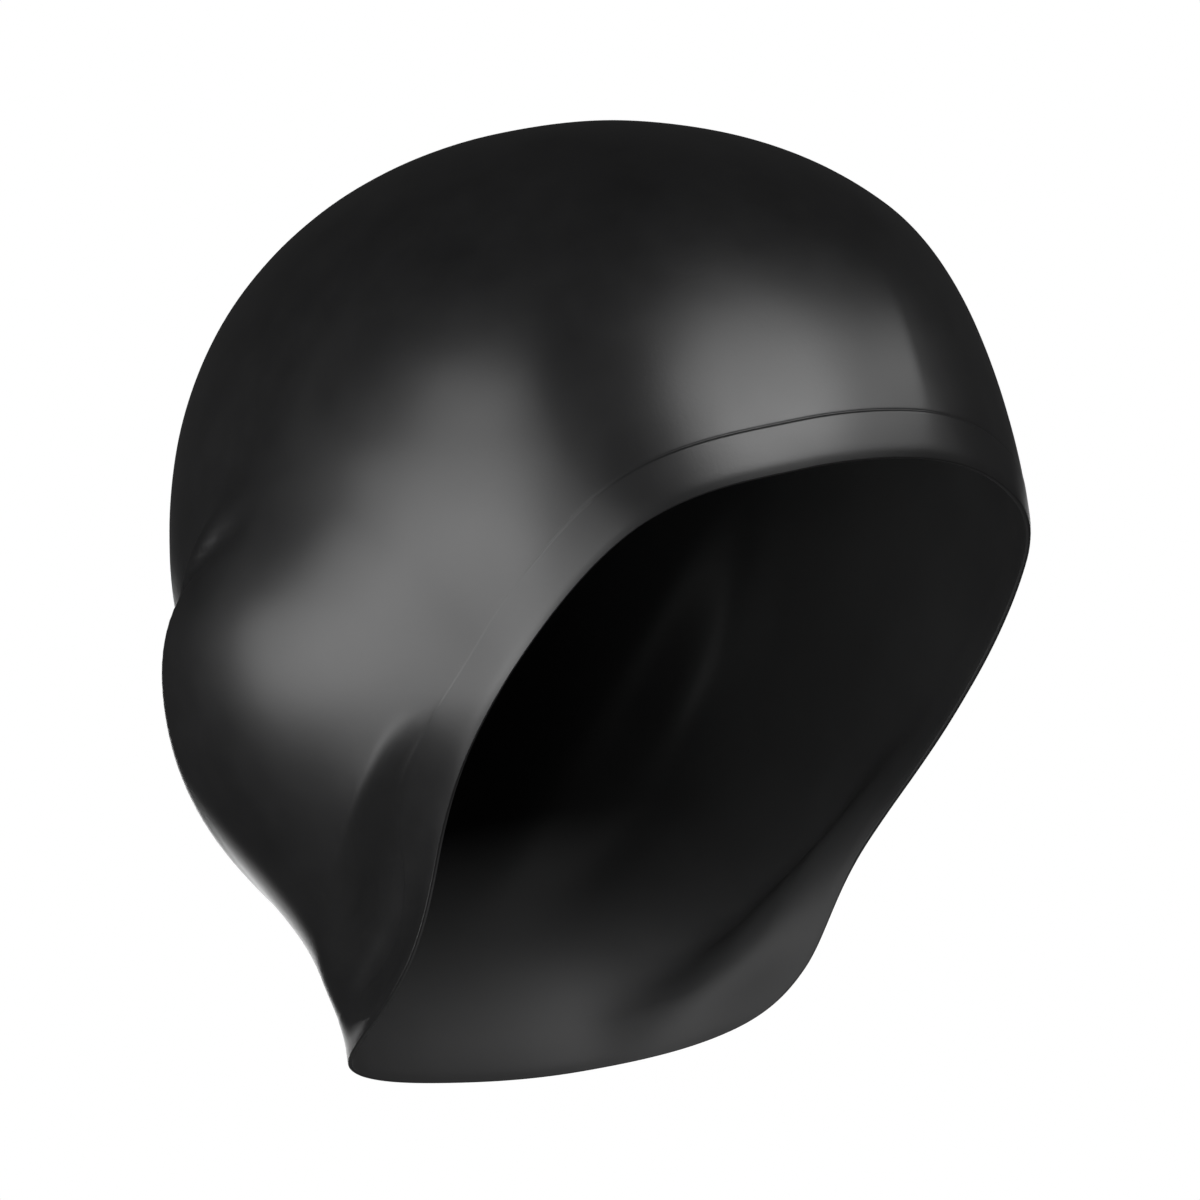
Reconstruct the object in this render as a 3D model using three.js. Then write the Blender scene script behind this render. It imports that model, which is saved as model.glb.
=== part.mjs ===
// A moulded silicone swim cap with two ear pockets, in the form it has on a head. It is one piece.
// Millimetres, +Z up. The face looks along -Y and the wearer's left is +X.
// The origin is the inside of the crown, where the cap sits on the head.
import * as THREE from 'three';

// Head form, measured on the outside of the cap
const capHeight = 208; // crown to the lowest point of the nape
const domeRise = 89.5; // crown down to the widest level
const foreheadReach = 97; // crown axis forward to the forehead
const occiputReach = 104.5; // crown axis back to the back of the head
const halfWidth = 84.5; // crown axis out to the side, above the ears

// Wall and hem
const wall = 1.2;
const hemWidth = 10; // the thicker band along the edge
const hemStep = 0.25; // how far the band stands out of the wall, on each side
const hemBlend = 1; // width of the step itself

// Ear pockets, one on each side: a long soft slope in front, and a crisp edge behind and below
const pocketDepth = 14.5; // how far it swells out of the side of the head
const pocketUp = 58; // from its top to its outline, four ways
const pocketDown = 57;
const pocketFore = 88;
const pocketAft = 21;
const pocketSetback = 41; // its top behind the crown axis
const pocketLean = 15; // degrees, its upper end leans forward
const pocketSweep = 40; // degrees, it swells out and backwards
const creaseMiddle = -40; // degrees from straight back, up is positive: its outline is crispest here
const creaseSpread = 66; // degrees to each side, where the crispness has faded out

// The crescent-shaped valley that pinches in along each pocket's lower front. It follows a long outline of its own.
const valleyDepth = 8.5;
const valleyInside = 6.7; // width of its steep wall, on the pocket's side
const valleyOutside = 24; // width of its gentle side, towards the edge
const valleyLong = 80; // from the middle of its outline, up and down
const valleyShort = 35.6; // and to the front and back
const valleySetback = 23; // middle behind the crown axis
const valleyLean = 44; // degrees, its upper end leans forward
const valleyMiddle = -171; // degrees from straight back: it is deepest here
const valleySpread = 40; // degrees to each side, where it has faded out

// The flat place at each temple
const templeDepth = 3.8;
const templeRadius = 47;
const templeTurn = 25; // degrees round the head from the forehead

// How far from the middle plane the forms of a side are whole
const sideBlend = 20;

// Outline powers: 2 is an ellipse, more is fuller
const domePower = 2.2;
const frontPower = 2.25;
const backPower = 2;

// Powers of the pocket's section: how late its soft slope starts, how gently it ends, and how full the crisp side is
const pocketSlope = 2.5;
const pocketFoot = 2.6;
const pocketCrisp = 0.85;

// How much of its widest size each direction keeps at the lowest level, and how steeply it still falls there
const taper = {
  front: { end: 0.78, slope: -0.15 },
  side: { end: 0.72, slope: -0.06 },
  back: { end: 0.5, slope: -0.04 },
};

// Levels below the crown, as shares of the cap's height
const pocketLevel = 0.62;
const valleyLevel = 0.661;
const templeLevel = 0.293;

// The edge, from the middle of the forehead round to the middle of the nape.
// turn is in degrees from the forehead, drop is the depth below the crown as a share of the cap's height.
const edgeRows = [
  { name: 'forehead', turn: 0, drop: 0.401 },
  { name: 'brow', turn: 20, drop: 0.418 },
  { name: 'temple', turn: 40, drop: 0.469 },
  { name: 'cheekbone', turn: 58, drop: 0.599 },
  { name: 'beforeEar', turn: 75, drop: 0.752 },
  { name: 'jawCorner', turn: 90, drop: 0.887 },
  { name: 'belowEar', turn: 108, drop: 0.952 },
  { name: 'neckSide', turn: 140, drop: 0.99 },
  { name: 'nape', turn: 180, drop: 1 },
];

// Mesh density
const turnSteps = 84;
const wallSteps = 30; // rows from the crown to the hem
const hemSteps = 2; // rows across the hem
const edgeSteps = 3; // facets round the edge
const sideCrowding = 0.2; // draws the columns together over the pockets

const lowerHeight = capHeight - domeRise;
const radians = THREE.MathUtils.degToRad;
const { lerp, clamp } = THREE.MathUtils;

// A smooth curve through the rows of a table, level at both ends.
function curveThrough(rows, x) {
  const last = rows.length - 1;
  const slopeAt = (i) =>
    i === 0 || i === last ? 0 : (rows[i + 1].drop - rows[i - 1].drop) / (rows[i + 1].turn - rows[i - 1].turn);
  let i = 0;
  while (i < last - 1 && x > rows[i + 1].turn) i++;
  const span = rows[i + 1].turn - rows[i].turn;
  const t = clamp((x - rows[i].turn) / span, 0, 1);
  const rise = t * t * (3 - 2 * t);
  return (
    lerp(rows[i].drop, rows[i + 1].drop, rise) +
    span * slopeAt(i) * t * (1 - t) ** 2 -
    span * slopeAt(i + 1) * t * t * (1 - t)
  );
}

// Depth of the edge below the crown at an angle round the head, the same on both sides.
function edgeDrop(turn) {
  const fromFront = Math.abs(Math.atan2(Math.sin(turn), Math.cos(turn)));
  return capHeight * curveThrough(edgeRows, THREE.MathUtils.radToDeg(fromFront));
}

// Share of the widest size left below the widest level. It starts with the dome's own curvature, so no line shows.
function taperShare(below, { end, slope }) {
  const bend = lowerHeight ** 2 / (2 * domeRise ** 2);
  const lift = end - 1 + bend;
  const pull = slope + 2 * bend;
  return 1 - bend * below ** 2 + (4 * lift - pull) * below ** 3 + (pull - 3 * lift) * below ** 4;
}

// The head form without pockets, at an angle round the head and a depth below the crown.
function headPoint(turn, drop) {
  const up = clamp(1 - drop / domeRise, 0, 1);
  const dome = (1 - up ** domePower) ** (1 / domePower);
  const below = clamp((drop - domeRise) / lowerHeight, 0, 1);
  const facing = (1 + Math.cos(turn)) / 2;
  const back = occiputReach * dome * taperShare(below, taper.back);
  const front = foreheadReach * dome * taperShare(below, taper.front);
  const length = lerp(back, front, facing);
  const width = halfWidth * dome * taperShare(below, taper.side);
  const power = lerp(backPower, frontPower, facing);
  const along = Math.abs(Math.cos(turn)) / length;
  const across = Math.abs(Math.sin(turn)) / width;
  const reach = 1 / (along ** power + across ** power) ** (1 / power);
  return new THREE.Vector3(reach * Math.sin(turn), -reach * Math.cos(turn), wall - drop);
}

const pocketOutline = {
  setback: pocketSetback,
  level: pocketLevel,
  lean: pocketLean,
  up: pocketUp,
  down: pocketDown,
  fore: pocketFore,
  aft: pocketAft,
};
const valleyOutline = {
  setback: valleySetback,
  level: valleyLevel,
  lean: valleyLean,
  up: valleyLong,
  down: valleyLong,
  fore: valleyShort,
  aft: valleyShort,
};

// Where a point of the side lies in an outline there: distance 1 is its edge, angle 0 is straight back.
function placeIn(point, outline) {
  const aft = point.y - outline.setback;
  const rise = point.z - wall + outline.level * capHeight;
  const lean = radians(outline.lean);
  const upward = rise * Math.cos(lean) - aft * Math.sin(lean);
  const backward = aft * Math.cos(lean) + rise * Math.sin(lean);
  const along = upward / (upward > 0 ? outline.up : outline.down);
  const across = backward / (backward > 0 ? outline.aft : outline.fore);
  return { distance: Math.hypot(along, across), angle: Math.atan2(along, across) };
}

// A smooth hump, 1 in the middle and 0 from a distance of 1 on.
function hump(distance) {
  return (1 - clamp(distance, 0, 1) ** 2) ** 2;
}

// How near an angle is to the middle of a stretch of an outline, from 1 down to 0 at its ends.
function nearness(angle, middle, spread) {
  const away = angle - radians(middle);
  return hump(Math.abs(Math.atan2(Math.sin(away), Math.cos(away))) / radians(spread));
}

// How far the ear pocket swells out at a point of the side.
function pocketSwell(point) {
  const { distance, angle } = placeIn(point, pocketOutline);
  const within = clamp(distance, 0, 1);
  const soft = (1 - within ** pocketSlope) ** pocketFoot;
  const crisp = (1 - within ** 2) ** pocketCrisp;
  return pocketDepth * lerp(soft, crisp, nearness(angle, creaseMiddle, creaseSpread));
}

// How far the valley draws in at a point of the side.
function valleyDraw(point) {
  const { distance, angle } = placeIn(point, valleyOutline);
  const across = (distance - 1) * valleyShort;
  const share = across < 0 ? -across / valleyInside : across / valleyOutside;
  return valleyDepth * hump(share) * nearness(angle, valleyMiddle, valleySpread);
}

// How far the temple is flattened.
function templeDraw(point) {
  const middle = headPoint(radians(templeTurn), templeLevel * capHeight);
  const away = Math.hypot(Math.abs(point.x) - middle.x, point.y - middle.y, point.z - middle.z);
  return templeDepth * hump(away / templeRadius);
}

// A point of the outer skin: the head form with its pockets, valleys and flat temples.
function skinPoint(turn, drop) {
  const point = headPoint(turn, drop);
  const side = clamp(point.x / sideBlend, -1, 1);
  const swell = pocketSwell(point);
  const sweep = radians(pocketSweep);
  const valley = valleyDraw(point);
  const flat = templeDraw(point);
  point.x += side * (swell * Math.cos(sweep) - valley) - flat * Math.sin(turn);
  point.y += Math.abs(side) * swell * Math.sin(sweep) + flat * Math.cos(turn);
  return point;
}

// Down the skin in even steps of an angle: a quarter turn over the dome, then on at the same pace.
function angleAt(drop) {
  return drop < domeRise ? Math.acos(1 - drop / domeRise) : Math.PI / 2 + (drop - domeRise) / domeRise;
}

function dropAt(angle) {
  return angle < Math.PI / 2 ? domeRise * (1 - Math.cos(angle)) : domeRise * (1 + angle - Math.PI / 2);
}

// The skin's outward direction, from a short step round the head and one down it.
function skinNormal(turn, drop) {
  const turnStep = 1e-3;
  const dropStep = turnStep * halfWidth;
  const depth = Math.max(drop, dropStep);
  const round = skinPoint(turn + turnStep, depth).sub(skinPoint(turn - turnStep, depth));
  const down = skinPoint(turn, depth + dropStep / 2).sub(skinPoint(turn, depth - dropStep / 2));
  return down.cross(round).normalize();
}

// How far below the hem's upper line the edge lies, measured straight down. It grows where the edge is steep.
function hemDrop(turn) {
  const step = radians(6);
  const before = skinPoint(turn - step, edgeDrop(turn - step));
  const after = skinPoint(turn + step, edgeDrop(turn + step));
  const steepness = (before.z - after.z) / Math.hypot(before.x - after.x, before.y - after.y);
  return hemWidth * Math.hypot(1, steepness);
}

// One column of the cap's section: down the outside, round the edge and back up the inside.
function column(turn) {
  const edge = edgeDrop(turn);
  const hemTop = edge - hemDrop(turn);
  const drops = [];
  for (let i = 1; i < wallSteps; i++) drops.push(dropAt((angleAt(hemTop - hemBlend) * i) / (wallSteps - 1)));
  for (let i = 0; i <= hemSteps; i++) drops.push(lerp(hemTop, edge, i / hemSteps));

  const outside = [];
  const inside = [];
  for (const drop of drops) {
    const skin = skinPoint(turn, drop);
    const outward = skinNormal(turn, drop);
    const step = drop < hemTop ? 0 : hemStep;
    outside.push(skin.clone().addScaledVector(outward, step));
    inside.push(skin.clone().addScaledVector(outward, -wall - step));
  }

  const middle = outside.at(-1).clone().lerp(inside.at(-1), 0.5);
  const above = outside.at(-2).clone().lerp(inside.at(-2), 0.5);
  const outward = outside.at(-1).clone().sub(middle);
  const onward = middle.clone().sub(above).setLength(outward.length());
  const round = [];
  for (let i = 1; i < edgeSteps; i++) {
    const angle = (Math.PI * i) / edgeSteps;
    const point = middle.clone().addScaledVector(outward, Math.cos(angle));
    round.push(point.addScaledVector(onward, Math.sin(angle)));
  }
  return [...outside, ...round, ...inside.reverse()];
}

// The whole cap as one closed surface: rings of columns between an outer and an inner crown point.
function capGeometry() {
  const columns = [];
  for (let i = 0; i < turnSteps; i++) {
    const even = (2 * Math.PI * i) / turnSteps;
    columns.push(column(even + sideCrowding * Math.sin(2 * even)));
  }
  const rings = columns[0].length;
  const outerCrown = new THREE.Vector3(0, 0, wall);
  const innerCrown = new THREE.Vector3(0, 0, 0);
  const points = [outerCrown, ...columns.flat(), innerCrown];
  const at = (turnIndex, ring) => 1 + (turnIndex % turnSteps) * rings + ring;
  const faces = [];
  for (let i = 0; i < turnSteps; i++) {
    faces.push(0, at(i, 0), at(i + 1, 0));
    for (let ring = 0; ring < rings - 1; ring++) {
      const corners = [at(i, ring), at(i, ring + 1), at(i + 1, ring + 1), at(i + 1, ring)];
      faces.push(corners[0], corners[1], corners[2], corners[0], corners[2], corners[3]);
    }
    faces.push(points.length - 1, at(i + 1, rings - 1), at(i, rings - 1));
  }
  const geometry = new THREE.BufferGeometry().setFromPoints(points);
  geometry.setIndex(faces);
  geometry.computeVertexNormals();
  return geometry;
}

const silicone = new THREE.MeshStandardMaterial({ color: 0x161616, roughness: 0.42, metalness: 0 });

const cap = new THREE.Mesh(capGeometry(), silicone);
cap.name = 'cap_shell';

const swimCap = new THREE.Group();
swimCap.name = 'swim_cap';
swimCap.add(cap);

export default swimCap;
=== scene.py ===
import math

import bpy
import numpy as np
from mathutils import Matrix, Vector


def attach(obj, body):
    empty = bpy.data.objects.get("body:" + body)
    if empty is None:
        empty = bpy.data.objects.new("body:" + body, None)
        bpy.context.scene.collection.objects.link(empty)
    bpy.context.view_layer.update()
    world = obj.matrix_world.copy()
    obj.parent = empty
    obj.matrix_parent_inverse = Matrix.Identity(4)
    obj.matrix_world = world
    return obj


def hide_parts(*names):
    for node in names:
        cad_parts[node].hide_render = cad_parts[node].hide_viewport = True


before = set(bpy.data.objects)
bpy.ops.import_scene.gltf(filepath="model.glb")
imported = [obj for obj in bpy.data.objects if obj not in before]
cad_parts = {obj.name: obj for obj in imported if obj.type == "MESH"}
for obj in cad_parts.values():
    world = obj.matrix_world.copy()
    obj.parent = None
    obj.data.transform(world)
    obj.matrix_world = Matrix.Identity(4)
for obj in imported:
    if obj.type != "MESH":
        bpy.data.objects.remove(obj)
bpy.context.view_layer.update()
print("frame loaded, with", ", ".join(sorted(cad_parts)))

cap = {
    # head form, measured on the outside
    "height": 0.208,  # crown to the lowest point of the nape
    "domeRise": 0.0895,  # crown down to the widest level
    "foreheadReach": 0.097,
    "occiputReach": 0.1045,
    "halfWidth": 0.0845,
    "domePower": 2.2,  # 2 is an ellipse, more is fuller
    "frontPower": 2.25,
    "backPower": 2,
    # share of the widest size that is left at the lowest level, and the slope there
    "taper": {"front": (0.78, -0.15), "side": (0.72, -0.06), "back": (0.5, -0.04)},
    # wall and hem
    "wall": 0.0012,
    "hemWidth": 0.010,
    "hemStep": 0.0001,  # how far the hem stands out of the wall, on each side
    "hemBlend": 0.0008,  # how far up the wall that step is spread
    # strength of the scribed line, by degrees from the face
    "lineStrength": [(0, 1), (45, 0.9), (62, 0.3), (85, 0.12), (180, 0.1)],
    "rimThin": 0.3,  # share of the wall that is taken off at the very edge
    "rimThinWidth": 0.0015,
    "rimSquare": 0.5,  # 1 is a round edge, less is squarer
    # Each outline below has its middle's setback behind the crown, its level as a share of the height, its lean
    # to the front in degrees, and its reach each way.
    # ear pockets: a long soft slope in front, and a crisp edge behind
    "pocketDepth": 0.0145,
    "pocketSweep": 40,  # degrees, it swells out and backwards
    "pocketSlope": 2.5,  # powers of the soft slope
    "pocketFoot": 2.6,
    "pocketCrisp": 0.85,  # power of the crisp edge, a lower one is crisper
    "pocketCrispInside": 1.5,
    "crispMiddle": -40,  # degrees from straight back, up is positive
    "crispSpread": 66,
    "pocket": {
        "setback": 0.041,
        "level": 0.62,
        "lean": 15,
        "up": 0.058,
        "down": 0.057,
        "fore": 0.088,
        "aft": 0.021,
    },
    # outline that the crease at the upper rear of each pocket follows
    "creaseMiddle": 40,
    "creaseSpread": 33,
    "crease": {
        "setback": 0.025,
        "level": 0.649,
        "lean": 20,
        "up": 0.046,
        "down": 0.046,
        "fore": 0.029,
        "aft": 0.029,
    },
    # valley under and in front of each pocket, steep on the pocket's side
    "valleyDepth": 0.0092,
    "valleyInside": 0.0062,
    "valleyOutside": 0.017,
    "valleyMiddle": -171,
    "valleySpread": 40,
    "valley": {
        "setback": 0.023,
        "level": 0.661,
        "lean": 44,
        "up": 0.080,
        "down": 0.080,
        "fore": 0.0356,
        "aft": 0.0356,
    },
    # flat place at each temple
    "templeDepth": 0.0038,
    "templeRadius": 0.047,
    "templeTurn": 25,
    "templeLevel": 0.293,
    # the edge: degrees from the forehead, depth below the crown as a share of the height
    "edge": [
        (0, 0.401),
        (20, 0.418),
        (40, 0.469),
        (58, 0.599),
        (75, 0.752),
        (90, 0.887),
        (108, 0.952),
        (140, 0.99),
        (180, 1),
    ],
    "sideBlend": 0.020,  # from this far off the middle plane, a side's forms have their whole depth
    # mesh density
    "turnSteps": 360,
    "sideCrowding": 0.2,  # how much closer the steps lie at the sides than at front and back
    "wallRows": 118,
    "hemRows": 9,
    "roundRows": 8,
    "hemInsideRows": 12,
    "insideRows": 60,
    "lineRows": [0.0001, 0.0002, 0.00032, 0.00046, 0.00064, 0.0009],  # from the scribed line, both ways
    "lineMargin": 0.0016,  # from the scribed line to the first of the even rows below it
}

lowerHeight = cap["height"] - cap["domeRise"]


def mix(low, high, share):
    return low + (high - low) * share


# a smooth hump, 1 in the middle and 0 from a distance of 1 on
def hump(distance):
    return (1 - np.clip(distance, 0, 1) ** 2) ** 2


# how near an angle is to the middle of a stretch, 1 down to 0 at its ends
def nearness(angle, middle, spread):
    away = angle - math.radians(middle)
    return hump(np.abs(np.arctan2(np.sin(away), np.cos(away))) / math.radians(spread))


# depth of the edge below the crown, a smooth curve through the edge rows
def edgeDrop(turn):
    rows = np.array(cap["edge"], float)
    place, depth = rows[:, 0], rows[:, 1]
    slope = np.zeros(len(rows))
    slope[1:-1] = (depth[2:] - depth[:-2]) / (place[2:] - place[:-2])
    degrees = np.degrees(np.abs(np.arctan2(np.sin(turn), np.cos(turn))))
    i = np.clip(np.searchsorted(place, degrees, "right") - 1, 0, len(rows) - 2)
    span = place[i + 1] - place[i]
    t = (degrees - place[i]) / span
    rise = t * t * (3 - 2 * t)
    bend = slope[i] * t * (1 - t) ** 2 - slope[i + 1] * t * t * (1 - t)
    return cap["height"] * (mix(depth[i], depth[i + 1], rise) + span * bend)


# share of the widest size that is left below the widest level
def taperShare(below, side):
    end, slope = cap["taper"][side]
    bend = lowerHeight**2 / (2 * cap["domeRise"] ** 2)
    lift = end - 1 + bend
    pull = slope + 2 * bend
    return 1 - bend * below**2 + (4 * lift - pull) * below**3 + (pull - 3 * lift) * below**4


# the head form without pockets, at an angle round the head and a depth below the crown
def headPoint(turn, drop):
    up = np.clip(1 - drop / cap["domeRise"], 0, 1)
    dome = (1 - up ** cap["domePower"]) ** (1 / cap["domePower"])
    below = np.clip((drop - cap["domeRise"]) / lowerHeight, 0, 1)
    facing = (1 + np.cos(turn)) / 2
    back = cap["occiputReach"] * dome * taperShare(below, "back")
    front = cap["foreheadReach"] * dome * taperShare(below, "front")
    length = np.maximum(mix(back, front, facing), 1e-9)
    width = np.maximum(cap["halfWidth"] * dome * taperShare(below, "side"), 1e-9)
    power = mix(cap["backPower"], cap["frontPower"], facing)
    along = np.abs(np.cos(turn)) / length
    across = np.abs(np.sin(turn)) / width
    reach = 1 / (along**power + across**power) ** (1 / power)
    return np.stack([reach * np.sin(turn), -reach * np.cos(turn), cap["wall"] - drop], -1)


# where a point lies in an outline on the side: distance 1 is its edge, angle 0 is straight back
def placeIn(point, outline):
    aft = point[..., 1] - outline["setback"]
    rise = point[..., 2] - cap["wall"] + outline["level"] * cap["height"]
    lean = math.radians(outline["lean"])
    upward = rise * math.cos(lean) - aft * math.sin(lean)
    backward = aft * math.cos(lean) + rise * math.sin(lean)
    along = upward / np.where(upward > 0, outline["up"], outline["down"])
    across = backward / np.where(backward > 0, outline["aft"], outline["fore"])
    return np.hypot(along, across), np.arctan2(along, across)


def pocketSwell(point, crispPower):
    distance, angle = placeIn(point, cap["pocket"])
    within = np.clip(distance, 0, 1)
    soft = (1 - within ** cap["pocketSlope"]) ** cap["pocketFoot"]
    crisp = (1 - within**2) ** crispPower
    return cap["pocketDepth"] * mix(soft, crisp, nearness(angle, cap["crispMiddle"], cap["crispSpread"]))


def valleyDraw(point):
    distance, angle = placeIn(point, cap["valley"])
    across = (distance - 1) * cap["valley"]["fore"]
    across = np.where(across < 0, -across / cap["valleyInside"], across / cap["valleyOutside"])
    return cap["valleyDepth"] * hump(across) * nearness(angle, cap["valleyMiddle"], cap["valleySpread"])


def templeDraw(point):
    turn = np.array(math.radians(cap["templeTurn"]))
    middle = headPoint(turn, np.array(cap["templeLevel"] * cap["height"]))
    across = np.abs(point[..., 0]) - middle[0]
    along = point[..., 1] - middle[1]
    up = point[..., 2] - middle[2]
    return cap["templeDepth"] * hump(np.sqrt(across**2 + along**2 + up**2) / cap["templeRadius"])


# a point of the outer skin: the head form with its pockets, valleys and flat temples
def skinPoint(turn, drop, crispPower=cap["pocketCrisp"]):
    point = headPoint(turn, drop)
    side = np.clip(point[..., 0] / cap["sideBlend"], -1, 1)
    swell = pocketSwell(point, crispPower)
    valley = valleyDraw(point)
    flat = templeDraw(point)
    sweep = math.radians(cap["pocketSweep"])
    skin = point.copy()
    skin[..., 0] += side * (swell * math.cos(sweep) - valley) - flat * np.sin(turn)
    skin[..., 1] += np.abs(side) * swell * math.sin(sweep) + flat * np.cos(turn)
    return skin


# the direction straight out of the skin, from the points just beside it
def skinNormal(turn, drop, crispPower):
    turnStep = 1e-3
    dropStep = turnStep * cap["halfWidth"]
    depth = np.maximum(drop, 10 * dropStep)  # kept off the crown, where a turn moves nothing
    left = skinPoint(turn - turnStep, depth, crispPower)
    right = skinPoint(turn + turnStep, depth, crispPower)
    above = skinPoint(turn, depth - dropStep / 2, crispPower)
    below = skinPoint(turn, depth + dropStep / 2, crispPower)
    normal = np.cross(below - above, right - left)
    return normal / np.linalg.norm(normal, axis=-1, keepdims=True)


# The hem's width is measured square to its edge, so where the edge runs steeply it reaches this many times as
# far up.
def hemStretch(turn):
    step = math.radians(6)
    before = skinPoint(turn - step, edgeDrop(turn - step))
    after = skinPoint(turn + step, edgeDrop(turn + step))
    gap = before - after
    return np.hypot(1, gap[..., 2] / np.hypot(gap[..., 0], gap[..., 1]))


# A measure that runs evenly down the wall: on the dome it is the angle from the crown, and below that it goes
# on at the same rate. angleAt gives it for a depth below the crown, and dropAt gives the depth for it.
def angleAt(drop):
    rise = cap["domeRise"]
    onDome = np.arccos(np.clip(1 - drop / rise, -1, 1))
    return np.where(drop < rise, onDome, math.pi / 2 + (drop - rise) / rise)


def dropAt(angle):
    rise = cap["domeRise"]
    return np.where(angle < math.pi / 2, rise * (1 - np.cos(angle)), rise * (1 + angle - math.pi / 2))


# heights above the edge of the rows across the hem, close together at the scribed line
def hemRows():
    width = cap["hemWidth"]
    near = np.array(cap["lineRows"])
    even = np.linspace(width - cap["lineMargin"], 0, cap["hemRows"])
    return np.concatenate([width + near[::-1], [width], width - near, even])


# The section of the wall at one angle, as one running number: 0 to 1 down the outside to the hem, on to 2
# across the hem, on to 3 round the edge, on to 4 up the hem's inside, and on to 5 up the inside to the crown.
edgeMiddle = 2.5  # halfway round the edge, where the outside ends
crownInside = 5


def sectionRows():
    hem = hemRows()
    top = hem[0]
    outside = np.linspace(0, 1, cap["wallRows"] + 1)[1:-1]
    hemOutside = 1 + (top - hem) / top
    roundEdge = np.linspace(2, 3, cap["roundRows"] + 1)[1:-1]
    hemInside = 3 + np.linspace(0, 1, cap["hemInsideRows"])
    inside = np.linspace(4, 5, cap["insideRows"] + 1)[1:-1]
    return np.concatenate([outside, hemOutside, roundEdge, hemInside, inside])


# Where the points of the section are, the way out of the wall there, which on the inside is towards the head,
# and how far each point is above the edge and below the crown.
def sectionPoint(turn, place):
    top = hemRows()[0]
    edge = edgeDrop(turn)
    stretch = hemStretch(turn)
    wallEnd = angleAt(edge - top * stretch)
    outside = place < edgeMiddle
    onWall = np.where(outside, np.clip(place, 0, 1), np.clip(crownInside - place, 0, 1))
    onHem = np.where(outside, np.clip(place - 1, 0, 1), np.clip(4 - place, 0, 1))
    drop = np.where(onHem > 0, edge - top * (1 - onHem) * stretch, dropAt(wallEnd * onWall))
    aboveEdge = np.where(onHem > 0, top * (1 - onHem), top + wallEnd * (1 - onWall) * cap["domeRise"])
    belowLine = cap["hemWidth"] + cap["hemBlend"] / 2 - aboveEdge
    thicker = cap["hemStep"] * np.clip(belowLine / cap["hemBlend"], 0, 1)
    crispPower = np.where(outside, cap["pocketCrisp"], cap["pocketCrispInside"])
    skin = skinPoint(turn, drop, crispPower)
    outward = skinNormal(turn, drop, crispPower)
    thinner = 1 - cap["rimThin"] * hump(aboveEdge / cap["rimThinWidth"])
    half = (cap["wall"] / 2 + thicker) * thinner
    middle = skin - outward * cap["wall"] / 2
    stepUp = 0.0005
    onward = skin - skinPoint(turn, drop - stepUp, crispPower)
    onward /= np.maximum(np.linalg.norm(onward, axis=-1, keepdims=True), 1e-12)
    swing = math.pi * np.clip(place - 2, 0, 1)
    outwardShare = np.sign(np.cos(swing)) * np.abs(np.cos(swing)) ** cap["rimSquare"]
    onwardShare = np.sin(swing) ** cap["rimSquare"] * cap["rimSquare"]
    point = middle + outward * (half * outwardShare)[..., None] + onward * (half * onwardShare)[..., None]
    return point, outward * np.cos(swing)[..., None], aboveEdge, drop


# The skin of the whole cap: a column of section points at each turn round the head, closed at the crown by
# one point outside and one inside. Its attributes tell the relief where each point lies.
def capMesh():
    steps = cap["turnSteps"]
    even = 2 * math.pi * np.arange(steps) / steps
    turns = even + cap["sideCrowding"] * np.sin(2 * even)
    rows = sectionRows()
    count = len(rows)
    turn = np.concatenate([[0, 0], np.repeat(turns, count)])
    place = np.concatenate([[0, crownInside], np.tile(rows, steps)])
    point, outward, aboveEdge, drop = sectionPoint(turn, place)
    point[:2] = (0, 0, cap["wall"]), (0, 0, 0)
    outward[:2] = (0, 0, 1)
    faces = []
    for i in range(steps):
        here = 2 + i * count
        there = 2 + (i + 1) % steps * count
        faces.append((0, here, there))
        faces += [(here + j, here + j + 1, there + j + 1, there + j) for j in range(count - 1)]
        faces.append((1, there + count - 1, here + count - 1))
    mesh = bpy.data.meshes.new("capSkin")
    mesh.from_pydata(point.tolist(), [], faces)
    mesh.shade_smooth()
    distance, angle = placeIn(headPoint(turn, drop), cap["crease"])
    fromFace = np.degrees(np.abs(np.arctan2(np.sin(turn), np.cos(turn))))
    keep = {
        "aboveEdge": aboveEdge,
        "outer": place < edgeMiddle,
        "hemLine": np.interp(fromFace, *zip(*cap["lineStrength"])),
        "creaseDistance": distance,
        "creaseAngle": np.degrees(angle),
    }
    for name, values in keep.items():
        attribute = mesh.attributes.new(name, "FLOAT", "POINT")
        attribute.data.foreach_set("value", values.astype(np.float32))
    attribute = mesh.attributes.new("outward", "FLOAT_VECTOR", "POINT")
    attribute.data.foreach_set("vector", outward.astype(np.float32).ravel())
    return mesh


capPiece = bpy.data.objects.new("swimCap", capMesh())
bpy.context.scene.collection.objects.link(capPiece)
print("skin made:", len(capPiece.data.vertices), "points")


# Shader groups and materials


def link(tree, source, target):
    tree.links.new(source, target)


def addGroup(name, inputs, outputs):
    group = bpy.data.node_groups.new(name, "ShaderNodeTree")
    for title, kind, value in inputs:
        socket = group.interface.new_socket(title, in_out="INPUT", socket_type=kind)
        if value is not None:
            socket.default_value = value
    for title, kind in outputs:
        group.interface.new_socket(title, in_out="OUTPUT", socket_type=kind)
    return group, group.nodes.new("NodeGroupInput"), group.nodes.new("NodeGroupOutput")


def mathNode(tree, operation, *values):
    node = tree.nodes.new("ShaderNodeMath")
    node.operation = operation
    for socket, value in zip(node.inputs, values):
        if isinstance(value, (int, float)):
            socket.default_value = value
        else:
            link(tree, value, socket)
    return node.outputs[0]


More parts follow.
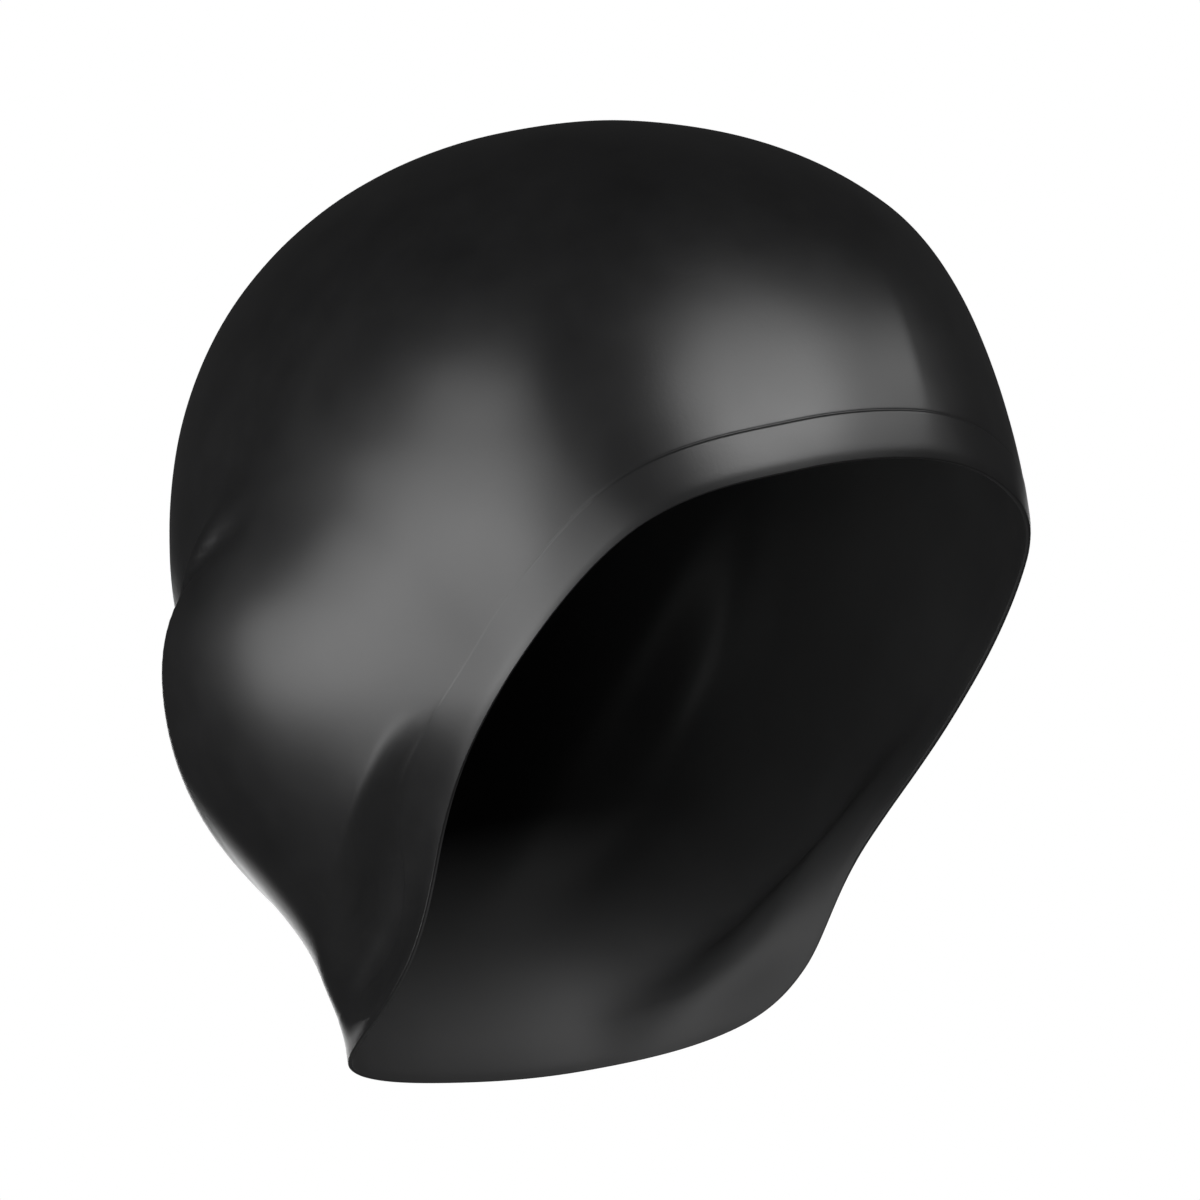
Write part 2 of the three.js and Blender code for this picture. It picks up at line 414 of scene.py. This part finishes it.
# Fine matt grain of the mould, and the soft blotches of bloom on silicone
def mouldedSkinGroup():
    group, given, made = addGroup(
        "mouldedSkin",
        [
            ("Vector", "NodeSocketVector", None),
            ("Grain Size", "NodeSocketFloat", 0.0006),
            ("Bloom Size", "NodeSocketFloat", 0.02),
        ],
        [("Height", "NodeSocketFloat"), ("Bloom", "NodeSocketFloat")],
    )
    grainScale = mathNode(group, "DIVIDE", 1.0, given.outputs["Grain Size"])
    bloomScale = mathNode(group, "DIVIDE", 1.0, given.outputs["Bloom Size"])
    grain = group.nodes.new("ShaderNodeTexNoise")
    grain.inputs["Detail"].default_value = 2
    link(group, given.outputs["Vector"], grain.inputs["Vector"])
    link(group, grainScale, grain.inputs["Scale"])
    bloom = group.nodes.new("ShaderNodeTexNoise")
    bloom.inputs["Detail"].default_value = 4
    bloom.inputs["Roughness"].default_value = 0.55
    link(group, given.outputs["Vector"], bloom.inputs["Vector"])
    link(group, bloomScale, bloom.inputs["Scale"])
    link(group, grain.outputs["Fac"], made.inputs["Height"])
    link(group, bloom.outputs["Fac"], made.inputs["Bloom"])
    return group


mouldedSkin = mouldedSkinGroup()

silicone = {
    "specular": 0.5,
    "bloomRange": (0.3, 0.7),  # the stretch of the bloom that the tones and the gloss are spread over
    "outside": {
        "dark": (0.0065, 0.0065, 0.0068),
        "light": (0.0095, 0.0095, 0.0098),
        "matt": 0.37,
        "satin": 0.33,
        "grainSize": 0.0007,
        "grainDepth": 0.00001,
    },
    # the inside: a matt finish that is real, and a tone painted about three times paler than the outside's,
    # painted light that stands in for the light coming in through the opening
    "inside": {
        "dark": (0.022, 0.022, 0.0225),
        "light": (0.027, 0.027, 0.0275),
        "matt": 0.62,
        "satin": 0.58,
        "grainSize": 0.0009,
        "grainDepth": 0.00001,
    },
}


def siliconeMaterial(name, look):
    material = bpy.data.materials.new(name)
    material.use_nodes = True
    tree = material.node_tree
    shader = tree.nodes["Principled BSDF"]
    shader.inputs["Specular IOR Level"].default_value = silicone["specular"]
    where = tree.nodes.new("ShaderNodeTexCoord")
    skin = tree.nodes.new("ShaderNodeGroup")
    skin.node_tree = mouldedSkin
    skin.inputs["Grain Size"].default_value = look["grainSize"]
    link(tree, where.outputs["Object"], skin.inputs["Vector"])
    tone = tree.nodes.new("ShaderNodeValToRGB")
    low, high = tone.color_ramp.elements
    low.position, high.position = silicone["bloomRange"]
    low.color, high.color = (*look["dark"], 1), (*look["light"], 1)
    link(tree, skin.outputs["Bloom"], tone.inputs["Fac"])
    link(tree, tone.outputs["Color"], shader.inputs["Base Color"])
    rough = tree.nodes.new("ShaderNodeMapRange")
    rough.inputs["From Min"].default_value, rough.inputs["From Max"].default_value = silicone["bloomRange"]
    rough.inputs["To Min"].default_value, rough.inputs["To Max"].default_value = look["satin"], look["matt"]
    link(tree, skin.outputs["Bloom"], rough.inputs["Value"])
    link(tree, rough.outputs["Result"], shader.inputs["Roughness"])
    bump = tree.nodes.new("ShaderNodeBump")
    bump.inputs["Distance"].default_value = look["grainDepth"]
    link(tree, skin.outputs["Height"], bump.inputs["Height"])
    link(tree, bump.outputs["Normal"], shader.inputs["Normal"])
    return material


outsideSilicone = siliconeMaterial("siliconeOutside", silicone["outside"])
# the inside copy of the silicone, whose paler tone is painted fill light
insideSiliconePaintedFill = siliconeMaterial("siliconeInsidePaintedFill", silicone["inside"])
print("materials made:", outsideSilicone.name, insideSiliconePaintedFill.name)

# Relief that follows the skin, as a geometry node tree: the scribed line over the hem, the pinch along the
# crease at each pocket with a soft lip beside it, and the slight unevenness of soft rubber.
relief = {
    "Line Depth": 0.00013,
    "Line Width": 0.00025,
    "Hem Width": cap["hemWidth"],
    "Pinch Depth": 0.0021,
    "Pinch Inside": 0.6,  # share of the depth that the inside follows, softly
    # Inside Width, Pinch Above and Below, and Lip Place and Width are shares of the crease's reach
    "Inside Width": 0.3,
    "Pinch Above": 0.09,
    "Pinch Below": 0.06,
    "Lip Height": 0.0010,
    "Lip Place": 0.16,
    "Lip Width": 0.12,
    "Pinch Middle": cap["creaseMiddle"],
    "Pinch Spread": cap["creaseSpread"],
    "Wave Depth": 0.00015,
    "Wave Size": 0.028,
}


def reliefTree():
    tree = bpy.data.node_groups.new("capRelief", "GeometryNodeTree")
    tree.interface.new_socket("Geometry", in_out="INPUT", socket_type="NodeSocketGeometry")
    for title in relief:
        tree.interface.new_socket(title, in_out="INPUT", socket_type="NodeSocketFloat")
    for title in ("Outside", "Inside"):
        tree.interface.new_socket(title, in_out="INPUT", socket_type="NodeSocketMaterial")
    tree.interface.new_socket("Geometry", in_out="OUTPUT", socket_type="NodeSocketGeometry")
    given, made = tree.nodes.new("NodeGroupInput"), tree.nodes.new("NodeGroupOutput")

    def named(name, kind="FLOAT"):
        node = tree.nodes.new("GeometryNodeInputNamedAttribute")
        node.data_type = kind
        node.inputs["Name"].default_value = name
        return node.outputs["Attribute"]

    def calc(operation, *values):
        return mathNode(tree, operation, *values)

    def product(*values):
        total = values[0]
        for value in values[1:]:
            total = calc("MULTIPLY", total, value)
        return total

    # a bell of exp(-(x / width) squared)
    def bell(away, width):
        return calc("EXPONENT", product(calc("POWER", calc("DIVIDE", away, width), 2.0), -1.0))

    size = given.outputs
    outer = named("outer")
    line = bell(calc("SUBTRACT", named("aboveEdge"), size["Hem Width"]), size["Line Width"])
    lineDrop = product(line, size["Line Depth"], named("hemLine"), outer)
    fromCrease = calc("SUBTRACT", named("creaseDistance"), 1.0)
    before = product(calc("MAXIMUM", fromCrease, 0.0), -1.0)
    above = calc("EXPONENT", calc("DIVIDE", before, size["Pinch Above"]))
    below = calc("EXPONENT", calc("DIVIDE", calc("MINIMUM", fromCrease, 0.0), size["Pinch Below"]))
    swing = calc("ABSOLUTE", calc("SUBTRACT", named("creaseAngle"), size["Pinch Middle"]))
    away = calc("MINIMUM", calc("DIVIDE", swing, size["Pinch Spread"]), 1.0)
    fade = calc("POWER", calc("SUBTRACT", 1.0, calc("POWER", away, 2.0)), 2.0)
    groove = product(above, below, size["Pinch Depth"])
    fromLip = calc("SUBTRACT", fromCrease, size["Lip Place"])
    lip = product(bell(fromLip, size["Lip Width"]), size["Lip Height"])
    dent = product(bell(fromCrease, size["Inside Width"]), size["Pinch Depth"], size["Pinch Inside"])
    # the way out of the wall points at the head on the inside, so the dent there has the other sign
    outsidePinch = product(calc("SUBTRACT", groove, lip), outer)
    insidePinch = product(dent, calc("SUBTRACT", 1.0, outer))
    pinch = product(calc("SUBTRACT", outsidePinch, insidePinch), fade)
    wave = tree.nodes.new("ShaderNodeTexNoise")
    wave.inputs["Detail"].default_value = 1
    position = tree.nodes.new("GeometryNodeInputPosition")
    link(tree, position.outputs[0], wave.inputs["Vector"])
    link(tree, calc("DIVIDE", 1.0, size["Wave Size"]), wave.inputs["Scale"])
    waves = product(calc("SUBTRACT", wave.outputs["Fac"], 0.5), product(size["Wave Depth"], 2.0))
    lift = calc("SUBTRACT", calc("SUBTRACT", waves, pinch), lineDrop)
    push = tree.nodes.new("ShaderNodeVectorMath")
    push.operation = "SCALE"
    link(tree, named("outward", "FLOAT_VECTOR"), push.inputs[0])
    link(tree, lift, push.inputs["Scale"])
    moved = tree.nodes.new("GeometryNodeSetPosition")
    link(tree, size["Geometry"], moved.inputs["Geometry"])
    link(tree, push.outputs[0], moved.inputs["Offset"])
    real = tree.nodes.new("GeometryNodeRealizeInstances")
    link(tree, moved.outputs[0], real.inputs[0])
    dressOutside = tree.nodes.new("GeometryNodeSetMaterial")
    link(tree, real.outputs[0], dressOutside.inputs["Geometry"])
    link(tree, size["Outside"], dressOutside.inputs["Material"])
    inner = tree.nodes.new("FunctionNodeCompare")
    inner.data_type, inner.operation = "FLOAT", "LESS_THAN"
    link(tree, outer, inner.inputs["A"])
    inner.inputs["B"].default_value = 0.5
    dressInside = tree.nodes.new("GeometryNodeSetMaterial")
    link(tree, dressOutside.outputs[0], dressInside.inputs["Geometry"])
    link(tree, inner.outputs[0], dressInside.inputs["Selection"])
    link(tree, size["Inside"], dressInside.inputs["Material"])
    link(tree, dressInside.outputs[0], made.inputs[0])
    return tree


# runs a tree on a piece with its named sizes, and leaves the plain mesh that comes out
def applyTree(piece, tree, values):
    modifier = piece.modifiers.new(tree.name, "NODES")
    modifier.node_group = tree
    for item in tree.interface.items_tree:
        if item.item_type == "SOCKET" and item.in_out == "INPUT" and item.name in values:
            modifier[item.identifier] = values[item.name]
    graph = bpy.context.evaluated_depsgraph_get()
    shaped = piece.evaluated_get(graph)
    mesh = bpy.data.meshes.new_from_object(shaped, preserve_all_data_layers=True, depsgraph=graph)
    piece.modifiers.remove(modifier)
    piece.data = mesh


applyTree(capPiece, reliefTree(), {**relief, "Outside": outsideSilicone, "Inside": insideSiliconePaintedFill})
print("relief made:", len(capPiece.data.polygons), "faces")

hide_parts("cap_shell")
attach(capPiece, "root")

# Studio: a pale floor well below the cap, soft boxes round it and a white backdrop
studio = {
    "floorLevel": -2.5,
    "floorSize": 200,
    "floorColor": (0.8, 0.8, 0.8),
    "floorRoughness": 0.9,
    "floorGlow": 0.86,  # how pale the far floor looks to the camera, without lighting the cap
    "ambient": 0.035,
    "aim": (0, 0, -0.1),
    # name: azimuth, elevation, distance, width, height, watts
    "boxes": {
        "sideBox": (-102, -3, 1.4, 1.2, 0.7, 13.5),
        "upperSideBox": (-98, 22, 1.4, 0.6, 0.35, 2.5),
        "lowSideBox": (-86, -28, 1.4, 0.6, 0.4, 6),
        "faceBox": (-64, -14, 1.4, 0.5, 0.5, 2.5),
        "browBox": (-4, 28, 1.4, 0.8, 0.4, 9.5),
        "rightBox": (36, 25, 1.4, 0.9, 0.5, 4),
        "nearEdgeBox": (150, -8, 1.4, 0.3, 0.6, 1.6),
        "farEdgeBox": (116, -4, 1.4, 0.3, 0.6, 0.8),
    },
}


def around(azimuth, elevation):
    a, e = math.radians(azimuth), math.radians(elevation)
    return Vector((math.sin(a) * math.cos(e), -math.cos(a) * math.cos(e), math.sin(e)))


def lightBox(name, azimuth, elevation, distance, width, height, watts):
    light = bpy.data.lights.new(name, "AREA")
    light.shape = "RECTANGLE"
    light.size, light.size_y, light.energy = width, height, watts
    box = bpy.data.objects.new(name, light)
    back = around(azimuth, elevation)
    box.location = Vector(studio["aim"]) + back * distance
    box.rotation_euler = back.to_track_quat("Z", "Y").to_euler()
    box.visible_camera = False
    bpy.context.scene.collection.objects.link(box)


# gives the camera one shader, and every other ray another
def splitByCamera(tree, seen, others, output):
    path = tree.nodes.new("ShaderNodeLightPath")
    choose = tree.nodes.new("ShaderNodeMixShader")
    link(tree, path.outputs["Is Camera Ray"], choose.inputs["Fac"])
    link(tree, others.outputs[0], choose.inputs[1])
    link(tree, seen.outputs[0], choose.inputs[2])
    link(tree, choose.outputs[0], output.inputs["Surface"])


def studioFloor():
    half = studio["floorSize"] / 2
    level = studio["floorLevel"]
    corners = [(x, y, level) for x, y in ((-half, -half), (half, -half), (half, half), (-half, half))]
    mesh = bpy.data.meshes.new("studioFloor")
    mesh.from_pydata(corners, [], [(0, 1, 2, 3)])
    floor = bpy.data.objects.new("studioFloor", mesh)
    bpy.context.scene.collection.objects.link(floor)
    material = bpy.data.materials.new("palePaper")
    material.use_nodes = True
    tree = material.node_tree
    shader = tree.nodes["Principled BSDF"]
    shader.inputs["Base Color"].default_value = (*studio["floorColor"], 1)
    shader.inputs["Roughness"].default_value = studio["floorRoughness"]
    glow = tree.nodes.new("ShaderNodeEmission")
    glow.inputs["Strength"].default_value = studio["floorGlow"]
    splitByCamera(tree, glow, shader, tree.nodes["Material Output"])
    mesh.materials.append(material)


# white behind the cap for the camera, and only a little light from all round
def whiteWorld():
    world = bpy.data.worlds.new("studioWorld")
    world.use_nodes = True
    bpy.context.scene.world = world
    tree = world.node_tree
    ambient = tree.nodes["Background"]
    ambient.inputs["Color"].default_value = (1, 1, 1, 1)
    ambient.inputs["Strength"].default_value = studio["ambient"]
    backdrop = tree.nodes.new("ShaderNodeBackground")
    backdrop.inputs["Color"].default_value = (1, 1, 1, 1)
    splitByCamera(tree, backdrop, ambient, tree.nodes["World Output"])


view = {
    "azimuth": -46,
    "elevation": -6,
    "roll": -2,
    "distance": 1.3,
    "orbit": (0, 0, -0.0923),  # the point that the camera's place is counted from
    "aim": (0, 0, -0.1031),  # the point in the middle of the picture
    "lens": 177.5,
    "sensor": 36,
}


def sceneCamera():
    camera = bpy.data.cameras.new("photoCamera")
    camera.lens, camera.sensor_width = view["lens"], view["sensor"]
    holder = bpy.data.objects.new("photoCamera", camera)
    place = Vector(view["orbit"]) + around(view["azimuth"], view["elevation"]) * view["distance"]
    back = (place - Vector(view["aim"])).normalized()
    turned = back.to_track_quat("Z", "Y").to_matrix().to_4x4()
    roll = Matrix.Rotation(math.radians(view["roll"]), 4, "Z")
    holder.matrix_world = Matrix.Translation(place) @ turned @ roll
    bpy.context.scene.collection.objects.link(holder)
    bpy.context.scene.camera = holder


studioFloor()
whiteWorld()
for name, box in studio["boxes"].items():
    lightBox(name, *box)
sceneCamera()
bpy.context.scene.view_settings.view_transform = "Standard"
print("studio made:", len(studio["boxes"]), "lights")
